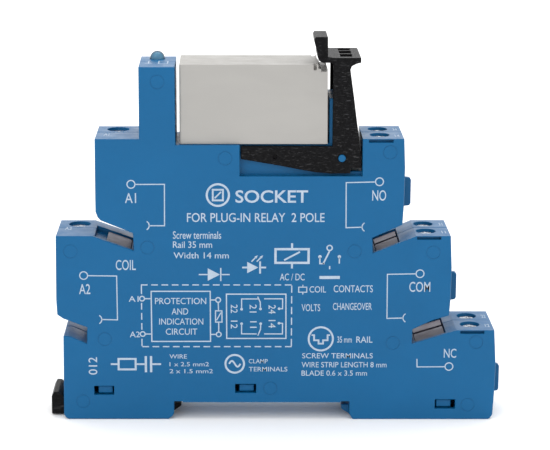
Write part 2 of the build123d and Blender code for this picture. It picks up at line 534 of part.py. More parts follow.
with BuildPart() as actuator_card:
    block(-14.0, 2.2, CY - 3.0, CY + 3.0, 65.4, 66.4)
    block(1.8, 4.7, CY - 4.7, CY + 4.7, 65.4, 66.4)
    block(-10.0, -1.0, CY - 1.6, CY + 1.6, 65.0, 67.0, Mode.SUBTRACT)
actuator_card.part.label = "actuator_card"
export_step(actuator_card.part, "parts/actuator_card.step")
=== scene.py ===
import json
import math

import bmesh
import bpy
import numpy as np
from mathutils import Matrix, Vector


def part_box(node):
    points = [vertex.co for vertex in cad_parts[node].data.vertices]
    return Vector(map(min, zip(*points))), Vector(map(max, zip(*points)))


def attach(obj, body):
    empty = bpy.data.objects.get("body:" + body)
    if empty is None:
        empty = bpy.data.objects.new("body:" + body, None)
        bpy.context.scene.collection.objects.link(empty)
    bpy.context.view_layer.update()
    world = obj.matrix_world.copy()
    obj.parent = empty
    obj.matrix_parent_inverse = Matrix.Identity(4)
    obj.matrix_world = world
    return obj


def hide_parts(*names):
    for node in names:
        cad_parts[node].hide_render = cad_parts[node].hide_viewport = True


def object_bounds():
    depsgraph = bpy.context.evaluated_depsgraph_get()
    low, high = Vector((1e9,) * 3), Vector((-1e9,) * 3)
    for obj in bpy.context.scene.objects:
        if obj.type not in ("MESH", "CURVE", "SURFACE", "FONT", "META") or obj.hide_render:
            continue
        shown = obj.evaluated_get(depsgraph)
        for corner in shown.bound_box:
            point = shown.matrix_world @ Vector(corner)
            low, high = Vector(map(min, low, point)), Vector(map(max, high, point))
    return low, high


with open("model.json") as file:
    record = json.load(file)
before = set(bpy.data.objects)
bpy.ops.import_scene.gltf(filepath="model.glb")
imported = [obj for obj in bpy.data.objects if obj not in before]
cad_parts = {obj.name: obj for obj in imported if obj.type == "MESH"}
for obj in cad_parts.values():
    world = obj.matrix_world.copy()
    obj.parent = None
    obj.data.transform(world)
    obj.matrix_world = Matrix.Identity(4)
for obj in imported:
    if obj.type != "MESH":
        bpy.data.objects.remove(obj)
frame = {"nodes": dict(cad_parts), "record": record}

MM = 0.001
NODES = frame["nodes"]
cad_low, cad_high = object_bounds()


# ---------------------------------------------------------------- materials

class Mat:
    """A node material with a Principled shader, and short helpers for its inputs."""

    def __init__(self, name):
        self.mat = bpy.data.materials.new(name)
        self.mat.use_nodes = True
        self.tree = self.mat.node_tree
        self.n = self.tree.nodes
        self.n.clear()
        self.out = self.n.new("ShaderNodeOutputMaterial")
        self.p = self.n.new("ShaderNodeBsdfPrincipled")
        self.tree.links.new(self.p.outputs[0], self.out.inputs[0])
        self.tc = self.n.new("ShaderNodeTexCoord")
        self.obj = self.tc.outputs["Object"]

    def link(self, a, b):
        self.tree.links.new(a, b)

    def set(self, **kw):
        for k, v in kw.items():
            self.p.inputs[k.replace("_", " ")].default_value = v
        return self

    def mapping(self, scale=(1, 1, 1), loc=(0, 0, 0), rot=(0, 0, 0)):
        m = self.n.new("ShaderNodeMapping")
        self.link(self.obj, m.inputs[0])
        m.inputs["Location"].default_value = loc
        m.inputs["Rotation"].default_value = rot
        m.inputs["Scale"].default_value = scale
        return m.outputs[0]

    def noise(self, scale, detail=3.0, rough=0.5, vec=None, distortion=0.0):
        t = self.n.new("ShaderNodeTexNoise")
        self.link(vec or self.obj, t.inputs["Vector"])
        t.inputs["Scale"].default_value = scale
        t.inputs["Detail"].default_value = detail
        t.inputs["Roughness"].default_value = rough
        t.inputs["Distortion"].default_value = distortion
        return t.outputs[0]

    def voronoi(self, scale, vec=None, feature="F1"):
        t = self.n.new("ShaderNodeTexVoronoi")
        t.feature = feature
        self.link(vec or self.obj, t.inputs["Vector"])
        t.inputs["Scale"].default_value = scale
        return t.outputs[0]

    def wave(self, scale, vec=None, kind="BANDS", direction="X", distortion=0.0, profile="SIN"):
        t = self.n.new("ShaderNodeTexWave")
        t.wave_type = kind
        if kind == "BANDS":
            t.bands_direction = direction
        else:
            t.rings_direction = direction
        t.wave_profile = profile
        self.link(vec or self.obj, t.inputs["Vector"])
        t.inputs["Scale"].default_value = scale
        t.inputs["Distortion"].default_value = distortion
        return t.outputs["Fac"]

    def ramp(self, fac, stops, mode="LINEAR"):
        r = self.n.new("ShaderNodeValToRGB")
        r.color_ramp.interpolation = mode
        e = r.color_ramp.elements
        while len(e) > 1:
            e.remove(e[-1])
        e[0].position = stops[0][0]
        e[0].color = (*stops[0][1], 1)
        for pos, col in stops[1:]:
            x = e.new(pos)
            x.color = (*col, 1)
        self.link(fac, r.inputs[0])
        return r.outputs[0]

    def remap(self, fac, lo, hi, a=0.0, b=1.0):
        r = self.n.new("ShaderNodeMapRange")
        self.link(fac, r.inputs[0])
        r.inputs[1].default_value = a
        r.inputs[2].default_value = b
        r.inputs[3].default_value = lo
        r.inputs[4].default_value = hi
        return r.outputs[0]

    def math(self, op, a, b=None, clamp=False):
        m = self.n.new("ShaderNodeMath")
        m.operation = op
        m.use_clamp = clamp
        for i, v in enumerate((a, b)):
            if v is None:
                continue
            if isinstance(v, (int, float)):
                m.inputs[i].default_value = v
            else:
                self.link(v, m.inputs[i])
        return m.outputs[0]

    def mix(self, fac, a, b, kind="MIX"):
        m = self.n.new("ShaderNodeMix")
        m.data_type = "RGBA"
        m.blend_type = kind
        for i, v in ((0, fac), (6, a), (7, b)):
            if isinstance(v, (int, float)):
                m.inputs[i].default_value = v
            elif isinstance(v, tuple):
                m.inputs[i].default_value = (*v, 1)
            else:
                self.link(v, m.inputs[i])
        return m.outputs[2]

    def xyz(self, what="Object"):
        s = self.n.new("ShaderNodeSeparateXYZ")
        self.link(self.tc.outputs[what], s.inputs[0])
        return s.outputs

    def upness(self):
        """1 on faces that look straight up, 0 on the rest."""
        g = self.n.new("ShaderNodeNewGeometry")
        s = self.n.new("ShaderNodeSeparateXYZ")
        self.link(g.outputs["Normal"], s.inputs[0])
        return self.remap(s.outputs[2], 0.0, 1.0, 0.75, 0.95)

    def bump(self, *layers):
        """layers: (height 0..1, depth in mm)."""
        prev = None
        for height, depth in layers:
            b = self.n.new("ShaderNodeBump")
            b.inputs["Strength"].default_value = 1.0
            b.inputs["Distance"].default_value = depth * MM
            self.link(height, b.inputs["Height"])
            if prev is not None:
                self.link(prev, b.inputs["Normal"])
            prev = b.outputs[0]
        self.link(prev, self.p.inputs["Normal"])
        return self

    def color(self, socket):
        self.link(socket, self.p.inputs["Base Color"])
        return self

    def rough(self, socket):
        self.link(socket, self.p.inputs["Roughness"])
        return self


def scaled(c, k):
    return tuple(min(1.0, x * k) for x in c)


def housing_blue():
    m = Mat("housing_blue")
    m.set(IOR=1.5, Specular_IOR_Level=0.20)
    base = (0.0030, 0.098, 0.242)
    flow = m.noise(55, 3, 0.5, m.mapping(scale=(1, 1, 1.6)), 0.6)
    fine = m.noise(900, 4, 0.6)
    tint = m.ramp(flow, [(0.30, scaled(base, 0.955)), (0.55, base), (0.75, scaled(base, 1.045))])
    tint = m.mix(m.remap(fine, 0.0, 0.10, 0.42, 0.70), tint, scaled(base, 1.20))
    m.color(tint)
    m.rough(m.remap(m.noise(320, 4, 0.6), 0.30, 0.44, 0.3, 0.7))
    m.bump((m.noise(5200, 3, 0.6), 0.006), (m.noise(1400, 2, 0.5), 0.010))
    return m.mat


def black_plastic():
    m = Mat("black_plastic")
    m.set(IOR=1.5, Specular_IOR_Level=0.09)
    grain = m.noise(3600, 4, 0.65)
    coarse = m.noise(1500, 3, 0.55)
    # short glass fibres near the surface, lying mostly along X
    fibre = m.noise(2600, 3, 0.6, m.mapping(scale=(0.35, 1, 1.4), rot=(0, 0.35, 0)), 0.8)
    body = m.ramp(m.math("ADD", m.math("MULTIPLY", grain, 0.6), m.math("MULTIPLY", coarse, 0.4)),
                  [(0.36, (0.0010, 0.0010, 0.0014)), (0.52, (0.0032, 0.0032, 0.0038)), (0.66, (0.0095, 0.0095, 0.0108))])
    m.color(m.mix(m.remap(fibre, 0.0, 0.85, 0.57, 0.72), body, (0.050, 0.050, 0.052)))
    m.rough(m.remap(grain, 0.36, 0.56, 0.3, 0.7))
    m.bump((grain, 0.030), (coarse, 0.024))
    return m.mat


def relay_grey():
    m = Mat("relay_grey")
    m.set(IOR=1.48, Specular_IOR_Level=0.38)
    base = (0.345, 0.335, 0.318)
    flow = m.noise(70, 3, 0.5, m.mapping(scale=(0.7, 1, 1.3)), 0.8)
    side = m.ramp(flow, [(0.32, scaled(base, 0.95)), (0.5, base), (0.72, scaled(base, 1.05))])
    # upward faces are darker and browner, in streaks along the length
    length_streaks = m.noise(1500, 5, 0.7, m.mapping(scale=(0.10, 1.3, 1)), 0.5)
    marks = m.remap(length_streaks, 0.0, 1.0, 0.48, 0.66)
    top = m.mix(m.math("MULTIPLY", m.upness(), m.math("MULTIPLY", marks, 0.50)), side, (0.150, 0.138, 0.115))
    m.color(top)
    m.rough(m.remap(m.noise(260, 4, 0.6), 0.40, 0.56, 0.3, 0.7))
    m.bump((m.noise(6500, 3, 0.6), 0.004), (m.noise(800, 2, 0.5), 0.008),
           (m.math("MULTIPLY", m.upness(), marks), 0.012))
    return m.mat


def lens_blue():
    m = Mat("lens_blue")
    m.set(IOR=1.49, Specular_IOR_Level=0.35, Transmission_Weight=0.25, Roughness=0.16)
    swirl = m.noise(420, 3, 0.5, None, 0.8)
    body = m.ramp(swirl, [(0.3, (0.075, 0.235, 0.370)), (0.7, (0.125, 0.320, 0.460))])
    # painted shade: the dome is darkened towards its rim, by the Layer Weight facing, down to a near-black blue
    painted_rim_shade = m.n.new("ShaderNodeLayerWeight")
    painted_rim_shade.inputs["Blend"].default_value = 0.45
    m.color(m.mix(m.remap(painted_rim_shade.outputs["Facing"], 0.0, 1.0, 0.20, 0.70), body, (0.004, 0.026, 0.060)))
    m.bump((m.noise(1500, 2, 0.5), 0.002))
    return m.mat


def led_epoxy():
    m = Mat("led_epoxy")
    m.set(IOR=1.53, Transmission_Weight=0.75, Roughness=0.06)
    m.color(m.ramp(m.noise(900, 2, 0.5), [(0.3, (0.80, 0.86, 0.92)), (0.7, (0.90, 0.94, 0.98))]))
    m.bump((m.noise(2500, 2, 0.5), 0.002))
    return m.mat


def board_laminate():
    m = Mat("board_laminate")
    m.set(IOR=1.5, Specular_IOR_Level=0.5)
    cells = m.n.new("ShaderNodeTexBrick")
    v = m.mapping(scale=(420, 420, 420), rot=(math.radians(90), 0, 0))
    m.link(v, cells.inputs["Vector"])
    cells.inputs["Mortar Size"].default_value = 0.10
    cells.inputs["Color1"].default_value = (0.010, 0.095, 0.038, 1)
    cells.inputs["Color2"].default_value = (0.012, 0.110, 0.045, 1)
    cells.inputs["Mortar"].default_value = (0.030, 0.190, 0.075, 1)
    weave = m.wave(2600, None, "BANDS", "DIAGONAL")
    m.color(m.mix(m.remap(weave, 0.0, 0.18), cells.outputs[0], (0.025, 0.150, 0.060)))
    m.rough(m.remap(m.noise(700, 3, 0.5), 0.22, 0.34, 0.3, 0.7))
    m.bump((cells.outputs["Fac"], 0.02), (weave, 0.004))
    return m.mat


def component_beige():
    """Resistor body, with colour bands across its length."""
    m = Mat("component_beige")
    m.set(IOR=1.5, Specular_IOR_Level=0.5)
    lo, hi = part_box("series_resistor")
    size = [hi[i] - lo[i] for i in range(3)]
    ax = size.index(max(size))
    along = m.remap(m.xyz()[ax], 0.0, 1.0, lo[ax], hi[ax])
    body = (0.52, 0.36, 0.19)
    wire = (0.55, 0.53, 0.50)
    bands = m.ramp(along, [(0.0, wire), (0.27, body), (0.33, (0.22, 0.09, 0.03)), (0.37, body), (0.43, (0.02, 0.02, 0.02)),
                           (0.47, body), (0.53, (0.60, 0.20, 0.02)), (0.57, body), (0.65, (0.50, 0.36, 0.08)), (0.69, body), (0.74, wire)], "CONSTANT")
    m.color(m.mix(m.remap(m.noise(1800, 3, 0.6), 0.0, 0.12), bands, (0.70, 0.55, 0.36)))
    m.rough(m.remap(m.noise(900, 3, 0.5), 0.22, 0.36, 0.3, 0.7))
    m.bump((m.noise(3200, 2, 0.5), 0.006))
    return m.mat


def component_black():
    """Diode body, with its cathode band."""
    m = Mat("component_black")
    m.set(IOR=1.5, Specular_IOR_Level=0.45)
    lo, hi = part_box("freewheel_diode")
    size = [hi[i] - lo[i] for i in range(3)]
    ax = size.index(max(size))
    along = m.remap(m.xyz()[ax], 0.0, 1.0, lo[ax], hi[ax])
    body = (0.012, 0.012, 0.013)
    wire = (0.55, 0.53, 0.50)
    bands = m.ramp(along, [(0.0, wire), (0.27, body), (0.60, (0.60, 0.60, 0.60)), (0.66, body), (0.74, wire)], "CONSTANT")
    m.color(m.mix(m.remap(m.noise(2200, 3, 0.6), 0.0, 0.05), bands, (0.3, 0.3, 0.3)))
    m.rough(m.remap(m.noise(1200, 3, 0.5), 0.30, 0.45, 0.3, 0.7))
    m.bump((m.noise(3600, 2, 0.5), 0.008))
    return m.mat


def metal(name, dark, light, rough, stretch, bump_mm=0.004, spots=None):
    """Bare or plated metal: grain drawn along one direction, with a little stain."""
    m = Mat(name)
    m.set(Metallic=1.0)
    grain = m.noise(1700, 4, 0.6, m.mapping(scale=stretch))
    stain = m.noise(240, 3, 0.6, None, 0.8)
    col = m.ramp(grain, [(0.32, dark), (0.68, light)])
    m.color(m.mix(m.remap(stain, 0.0, 0.35, 0.45, 0.75), col, spots or dark))
    m.rough(m.remap(m.math("ADD", m.math("MULTIPLY", grain, 0.5), m.math("MULTIPLY", stain, 0.5)),
                    rough[0], rough[1], 0.3, 0.7))
    m.bump((grain, bump_mm))
    return m.mat


def zinc_plated_steel():
    m = Mat("zinc_plated_steel")
    m.set(Metallic=1.0)
    spangle = m.voronoi(1500)
    turned = m.noise(2600, 4, 0.6, m.mapping(scale=(1, 1, 0.25)))
    m.color(m.ramp(m.math("ADD", m.math("MULTIPLY", spangle, 0.35), m.math("MULTIPLY", turned, 0.65)),
                   [(0.25, (0.52, 0.53, 0.55)), (0.55, (0.72, 0.73, 0.75)), (0.8, (0.84, 0.85, 0.86))]))
    m.rough(m.remap(turned, 0.20, 0.38, 0.3, 0.7))
    m.bump((turned, 0.006))
    return m.mat


def bobbin_white():
    m = Mat("bobbin_white")
    m.set(IOR=1.5, Specular_IOR_Level=0.4)
    base = (0.70, 0.68, 0.61)
    m.color(m.ramp(m.noise(260, 3, 0.5, None, 0.5), [(0.3, scaled(base, 0.94)), (0.7, scaled(base, 1.05))]))
    m.rough(m.remap(m.noise(700, 3, 0.5), 0.36, 0.50, 0.3, 0.7))
    m.bump((m.noise(5200, 3, 0.6), 0.006))
    return m.mat


def enamelled_copper():
    """Fine wire wound side by side along the bobbin."""
    m = Mat("enamelled_copper")
    m.set(IOR=1.5, Metallic=0.85)
    lo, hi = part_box("coil_winding")
    size = [hi[i] - lo[i] for i in range(3)]
    ax = size.index(max(size))
    turns = m.wave(math.pi / 0.28 / MM / 10, None, "BANDS", "XYZ"[ax], 0.0)
    tone = m.noise(500, 3, 0.5)
    # painted shade and highlight: the wire is darker in the grooves between turns and lighter on their crests, in step
    # with the bump
    m.color(m.mix(turns, m.ramp(tone, [(0.3, (0.22, 0.065, 0.020)), (0.7, (0.32, 0.10, 0.032))]),
                  m.ramp(tone, [(0.3, (0.58, 0.22, 0.075)), (0.7, (0.72, 0.30, 0.11))])))
    m.rough(m.remap(tone, 0.24, 0.36, 0.3, 0.7))
    m.bump((turns, 0.09))
    return m.mat


def print_ink():
    m = Mat("print_ink")
    m.set(IOR=1.45, Specular_IOR_Level=0.3)
    thin = m.noise(3800, 4, 0.7)
    cover = m.noise(420, 3, 0.5)
    ink = m.ramp(cover, [(0.3, (0.345, 0.425, 0.520)), (0.7, (0.430, 0.500, 0.590))])
    m.color(m.mix(m.remap(thin, 0.0, 0.45, 0.56, 0.80), ink, (0.13, 0.25, 0.40)))
    m.rough(m.remap(thin, 0.48, 0.66, 0.3, 0.7))
    m.bump((thin, 0.004))
    return m.mat


def floor_white():
    m = Mat("floor_white")
    m.set(IOR=1.3, Specular_IOR_Level=0.0, Roughness=0.9)
    m.color(m.ramp(m.noise(3, 3, 0.5), [(0.3, (0.955, 0.955, 0.955)), (0.7, (0.965, 0.965, 0.965))]))
    return m.mat


MATERIALS = {
    "housing_blue": housing_blue(),
    "black_plastic": black_plastic(),
    "relay_grey": relay_grey(),
    "lens_blue": lens_blue(),
    "led_epoxy": led_epoxy(),
    "board_laminate": board_laminate(),
    "component_beige": component_beige(),
    "component_black": component_black(),
    "strip_alloy": metal("strip_alloy", (0.105, 0.098, 0.125), (0.185, 0.175, 0.205), (0.38, 0.55), (0.10, 1, 1), 0.006, (0.17, 0.105, 0.115)),
    "zinc_plated_steel": zinc_plated_steel(),
    "tinned_bronze": metal("tinned_bronze", (0.52, 0.50, 0.45), (0.74, 0.72, 0.67), (0.24, 0.40), (1, 1, 0.12), 0.004, (0.48, 0.40, 0.30)),
    "bobbin_white": bobbin_white(),
    "enamelled_copper": enamelled_copper(),
    "soft_iron": metal("soft_iron", (0.34, 0.34, 0.345), (0.52, 0.52, 0.53), (0.28, 0.44), (1, 0.15, 1), 0.005, (0.30, 0.29, 0.28)),
    "spring_steel": metal("spring_steel", (0.46, 0.46, 0.47), (0.68, 0.68, 0.70), (0.20, 0.34), (1, 1, 0.10), 0.003, (0.40, 0.38, 0.36)),
}

slot_of = {s["node"]: s["material_slot"] for s in frame["record"]["subparts"]}
for name, ob in NODES.items():
    for s in ob.material_slots:
        s.material = MATERIALS[slot_of[name]]


# ---------------------------------------------------------------- edges

def folds(me, least=0.02):
    """Points where the outline of a flat face crosses itself."""
    me.calc_loop_triangles()
    area = np.zeros(len(me.polygons))
    for t in me.loop_triangles:
        area[t.polygon_index] += t.area
    spots = []
    for p in me.polygons:
        if (area[p.index] - p.area) * 1e6 < least and len(p.vertices) < 5:
            continue
        co = np.array([me.vertices[i].co[:] for i in p.vertices])
        k = int(np.argmax(np.abs(p.normal[:])))
        q = np.delete(co, k, axis=1)
        r = np.roll(q, -1, axis=0)
        if len(q) < 4:
            continue

        def side(a, b, c):
            return (b[..., 0] - a[..., 0]) * (c[..., 1] - a[..., 1]) - (b[..., 1] - a[..., 1]) * (c[..., 0] - a[..., 0])

        A, B = q[:, None], r[:, None]
        C, D = q[None], r[None]
        s1, s2, s3, s4 = side(A, B, C), side(A, B, D), side(C, D, A), side(C, D, B)
        e = 1e-15
        hit = ((s1 > e) & (s2 < -e) | (s1 < -e) & (s2 > e)) & ((s3 > e) & (s4 < -e) | (s3 < -e) & (s4 > e))
        for i, j in np.argwhere(hit):
            if i < j:
                t = s3[i, j] / (s3[i, j] - s4[i, j])
                spots.append(co[i] + (np.roll(co, -1, axis=0)[i] - co[i]) * t)
    return spots


def rebridge(bm, weight, full, flat=0.15):
    """Merges flat neighbouring faces so that the cuts left between a face's outline and its holes are
    short on rounding: long enough, and square enough to the rounded edges they meet."""
    bmesh.ops.triangulate(bm, faces=[f for f in bm.faces if len(f.verts) > 4], quad_method="BEAUTY", ngon_method="BEAUTY")
    bm.faces.index_update()
    inner = [e for e in bm.edges if len(e.link_faces) == 2 and e.calc_face_angle(0) < math.radians(flat)]

    def crowding(e):
        need = 0.0
        for v in e.verts:
            d = (e.other_vert(v).co - v.co).normalized()
            for g in v.link_edges:
                if g is not e and g[weight] > 0:
                    s = (g.other_vert(v).co - v.co).normalized()
                    across = math.sqrt(max(0.0, 1 - d.dot(s) ** 2))
                    need = max(need, 0) + g[weight] * full * MM / max(across, 1e-3) * 0.5
        return need / max(e.calc_length(), 1e-9)

    inner = sorted(((crowding(e), e.index, e) for e in inner), key=lambda x: (-x[0], x[1]))
    lead = list(range(len(bm.faces)))

    def find(i):
        while lead[i] != i:
            lead[i] = lead[lead[i]]
            i = lead[i]
        return i

    drop = []
    for _, _, e in inner:
        p, q = (find(f.index) for f in e.link_faces)
        if p != q:
            lead[p] = q
            drop.append(e)
    bmesh.ops.dissolve_edges(bm, edges=drop, use_verts=False, use_face_split=False)


BODY = {n: b for b, ns in frame["record"]["behaviour"]["bodies"].items() for n in ns}


def rounded(node, width, least=0.03, angle=32, segments=2, outline=None):
    """A node's shape with its edges rounded by up to width mm, and by less where two edges lie close together.
    outline: a larger width for the edges round the outside of the front and rear faces."""
    bm = bmesh.new()
    bm.from_mesh(NODES[node].data)
    bmesh.ops.remove_doubles(bm, verts=bm.verts, dist=1e-7)
    bmesh.ops.dissolve_limit(bm, angle_limit=math.radians(0.15), verts=bm.verts, edges=bm.edges)
    bm.edges.ensure_lookup_table()
    weight = bm.edges.layers.float.get("bevel_weight_edge") or bm.edges.layers.float.new("bevel_weight_edge")
    sharp = {e.index for e in bm.edges if len(e.link_faces) == 2 and e.calc_face_angle(0) >= math.radians(angle)}
    room = {i: 9.0 for i in sharp}
    for f in bm.faces:
        es = [e for e in f.edges if e.index in sharp]
        if not es:
            continue
        A = np.array([e.verts[0].co[:] for e in es]) / MM
        B = np.array([e.verts[1].co[:] for e in es]) / MM
        D = B - A
        L = np.linalg.norm(D, axis=1)
        U = D / L[:, None]
        V = np.array([v.co[:] for v in f.verts]) / MM
        ends = [{v.index for v in e.verts} for e in es]
        for i, e in enumerate(es):
            r = V - A[i]
            best = np.linalg.norm(r - np.outer(r @ U[i], U[i]), axis=1).max() * 0.42
            S = A[i] + np.outer(np.linspace(0, 1, 9), D[i])
            w = S[:, None, :] - A[None]
            t = np.clip((w * U[None]).sum(2), 0, L[None])
            v = w - t[:, :, None] * U[None]
            dist = np.linalg.norm(v, axis=2)
            along = np.abs(v @ U[i]) / np.maximum(dist, 1e-9)
            ok = np.array([not (ends[i] & x) for x in ends])[None] & (along < 0.75)
            if ok.any():
                best = min(best, dist[ok].min() * 0.42)
            room[e.index] = min(room[e.index], best)
    for i in room:
        e = bm.edges[i]
        want = width
        if outline and all(abs(v.co.y - e.verts[0].co.y) < 1e-6 for v in e.verts):
            pair = list(e.link_faces)
            for f, g in (pair, pair[::-1]):
                ys = [v.co.y / MM for v in g.verts]
                if abs(f.normal.y) > 0.99 and abs(g.normal.y) < 0.1 and max(ys) - min(ys) > 4.5 and e.calc_length() > 0.8 * MM:
                    want = outline
        room[i] = min(want, room[i])
    # one width along each straight or gently turning run of edges
    for _ in range(60):
        moved = False
        for v in bm.verts:
            es = [e for e in v.link_edges if e.index in sharp]
            for i, e in enumerate(es):
                for g in es[i + 1:]:
                    if (e.other_vert(v).co - v.co).normalized().dot((g.other_vert(v).co - v.co).normalized()) < -0.9:
                        w = min(room[e.index], room[g.index])
                        if max(room[e.index], room[g.index]) > w:
                            room[e.index] = room[g.index] = w
                            moved = True
        if not moved:
            break
    full = max(width, outline or 0)
    for i, w in room.items():
        e = bm.edges[i]
        e[weight] = w / full if w >= least else 0.0
        e.smooth = bool(w >= least)
    rebridge(bm, weight, full)
    for f in bm.faces:
        f.smooth = True
    me = bpy.data.meshes.new(node + "_moulded")
    ob = bpy.data.objects.new(node + "_moulded", me)
    bpy.context.scene.collection.objects.link(ob)
    me.materials.append(MATERIALS[slot_of[node]])
    b = ob.modifiers.new("edge", "BEVEL")
    b.width = full * MM
    b.segments = segments
    b.limit_method = "WEIGHT"
    b.use_clamp_overlap = False
    for _ in range(7):
        bm.to_mesh(me)
        me.update()
        made = bpy.data.meshes.new_from_object(ob.evaluated_get(bpy.context.evaluated_depsgraph_get()))
        spots = folds(made)
        if not spots:
            break
        # where a flat face folds over itself, the edges nearby are rounded less
        S = np.array(spots)
        for e in bm.edges:
            if e[weight] > 0:
                a = np.array(e.verts[0].co[:])
                d = np.array(e.verts[1].co[:]) - a
                t = np.clip(((S - a) @ d) / max(d @ d, 1e-18), 0, 1)
                if np.linalg.norm(S - a - t[:, None] * d, axis=1).min() < max(0.35, 2 * full) * MM:
                    w = e[weight] * 0.55
                    e[weight] = w if w * full >= least else 0.0
    bm.free()
    ob.modifiers.clear()
    ob.data = made
    made.name = node + "_moulded"
    bm = bmesh.new()
    bm.from_mesh(made)
    for e in bm.edges:
        e.smooth = bool(len(e.link_faces) == 2 and e.calc_face_angle(0) < math.radians(52))
    bm.to_mesh(made)
    bm.free()
    n = ob.modifiers.new("shade", "WEIGHTED_NORMAL")
    n.keep_sharp = True
    n.weight = 100
    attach(ob, BODY[node])
    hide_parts(node)
    return ob


rounded("housing_front_shell", 0.12, outline=0.26)
rounded("housing_rear_shell", 0.12, outline=0.26)
rounded("retaining_clip", 0.12)
rounded("relay_cover", 0.10, outline=0.34, segments=3)
rounded("relay_base", 0.20)
rounded("rail_latch", 0.15)
for k in ("a1", "a2", "11", "12", "14", "21", "22", "24"):
    rounded("contact_strip_" + k, 0.08)
    rounded("wire_clamp_" + k, 0.10)
    rounded("terminal_screw_" + k, 0.05, least=0.02)
for n in ("yoke", "armature", "actuator_card"):
    rounded(n, 0.08)


# ---------------------------------------------------------------- printed legend

FRONT = cad_low[1]          # the front face of the housing
INK = 0.008 * MM
LINE = 0.215


class Print:
    """Closed, thin flat shapes laid on one face. u runs right, v runs up, both in mm."""

    def __init__(self, name, origin, u, v, normal):
        self.name = name
        self.bm = bmesh.new()
        self.o, self.u, self.v, self.w = (Vector(x) for x in (origin, u, v, normal))

    def at(self, p, h):
        return self.o + self.u * (p[0] * MM) + self.v * (p[1] * MM) + self.w * h

    def prism(self, outline, holes=()):
        """A slab from an outline (counter-clockwise)."""
        low = [self.bm.verts.new(self.at(p, -INK * 0.5)) for p in outline]
        top = [self.bm.verts.new(self.at(p, INK)) for p in outline]
        n = len(outline)
        self.bm.faces.new(top)
        self.bm.faces.new(low[::-1])
        for i in range(n):
            j = (i + 1) % n
            self.bm.faces.new((low[i], low[j], top[j], top[i]))

    def loop(self, outer, inner):
        """A slab between two outlines with the same number of points."""
        n = len(outer)
        rows = [[self.bm.verts.new(self.at(p, h)) for p in o] for o, h in ((outer, -INK * 0.5), (outer, INK), (inner, INK), (inner, -INK * 0.5))]
        for k in range(4):
            a, b = rows[k], rows[(k + 1) % 4]
            for i in range(n):
                j = (i + 1) % n
                self.bm.faces.new((a[i], a[j], b[j], b[i]))

    def line(self, pts, width=LINE, closed=False):
        """A mitred line through points."""
        P = [Vector((p[0], p[1])) for p in pts]
        n = len(P)
        left, right = [], []
        for i in range(n):
            a = P[i - 1] if (i > 0 or closed) else None
            b = P[(i + 1) % n] if (i < n - 1 or closed) else None
            d1 = (P[i] - a).normalized() if a is not None else None
            d2 = (b - P[i]).normalized() if b is not None else None
            if d1 is None:
                d1 = d2
            if d2 is None:
                d2 = d1
            t = (d1 + d2).normalized()
            nrm = Vector((-t.y, t.x))
            k = width * 0.5 / max(0.35, nrm.dot(Vector((-d1.y, d1.x))))
            left.append(P[i] + nrm * k)
            right.append(P[i] - nrm * k)
        if closed:
            self.loop(right, left)
        else:
            self.prism([*right, *left[::-1]])

    def ring(self, x, y, r, width=LINE, steps=40):
        o = [(x + (r + width / 2) * math.cos(2 * math.pi * i / steps), y + (r + width / 2) * math.sin(2 * math.pi * i / steps)) for i in range(steps)]
        q = [(x + (r - width / 2) * math.cos(2 * math.pi * i / steps), y + (r - width / 2) * math.sin(2 * math.pi * i / steps)) for i in range(steps)]
        self.loop(o, q)

    def disc(self, x, y, r, steps=20):
        self.prism([(x + r * math.cos(2 * math.pi * i / steps), y + r * math.sin(2 * math.pi * i / steps)) for i in range(steps)])

    def arc(self, x, y, r, a0, a1, width=LINE, steps=14):
        self.line([(x + r * math.cos(math.radians(a0 + (a1 - a0) * i / steps)), y + r * math.sin(math.radians(a0 + (a1 - a0) * i / steps))) for i in range(steps + 1)], width)

    def dashes(self, a, b, dash, gap, width=LINE):
        A, B = Vector(a), Vector(b)
        L = (B - A).length
        n = max(1, round((L + gap) / (dash + gap)))
        step = (L + gap) / n
        d = (B - A).normalized()
        for i in range(n):
            s = A + d * (i * step)
            e = A + d * (i * step + step - gap)
            self.line([s, e], width)

    def text(self, body, x0, y0, x1, y1, turn=0, bold=0.0, shear=0.0, spacing=1.0):
        """Text fitted to the box from (x0, y0) to (x1, y1). turn is in degrees."""
        c = bpy.data.curves.new("t", "FONT")
        c.body = body
        c.size = 1.0
        c.extrude = 0.02
        c.offset = bold * 0.35
        c.shear = shear
        c.space_character = spacing
        c.resolution_u = 4
        o = bpy.data.objects.new("t", c)
        bpy.context.scene.collection.objects.link(o)
        bpy.context.view_layer.update()
        me = bpy.data.meshes.new_from_object(o.evaluated_get(bpy.context.evaluated_depsgraph_get()))
        bpy.data.objects.remove(o)
        bpy.data.curves.remove(c)
        R = Matrix.Rotation(math.radians(turn), 3, "Z")
        co = [R @ v.co for v in me.vertices]
        lo = [min(p[i] for p in co) for i in range(2)]
        hi = [max(p[i] for p in co) for i in range(2)]
        sx = (x1 - x0) / (hi[0] - lo[0])
        sy = (y1 - y0) / (hi[1] - lo[1])
        verts = []
        for p in co:
            q = ((p[0] - lo[0]) * sx + x0, (p[1] - lo[1]) * sy + y0)
            verts.append(self.bm.verts.new(self.at(q, INK if p[2] > 0 else -INK * 0.5)))
        for f in me.polygons:
            try:
                self.bm.faces.new([verts[i] for i in f.vertices])
            except ValueError:
                pass
        bpy.data.meshes.remove(me)

    def done(self, body="housing"):
        bmesh.ops.remove_doubles(self.bm, verts=self.bm.verts, dist=1e-8)
        loose = [v for v in self.bm.verts if not v.link_faces]
        bmesh.ops.delete(self.bm, geom=loose, context="VERTS")
        bmesh.ops.recalc_face_normals(self.bm, faces=self.bm.faces)
        me = bpy.data.meshes.new(self.name)
        self.bm.to_mesh(me)
        self.bm.free()
        ob = bpy.data.objects.new(self.name, me)
        bpy.context.scene.collection.objects.link(ob)
        me.materials.append(INK_MAT)
        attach(ob, body)
        return ob


INK_MAT = print_ink()

FACE = dict(origin=(0, FRONT, 0), u=(1, 0, 0), v=(0, 0, 1), normal=(0, -1, 0))


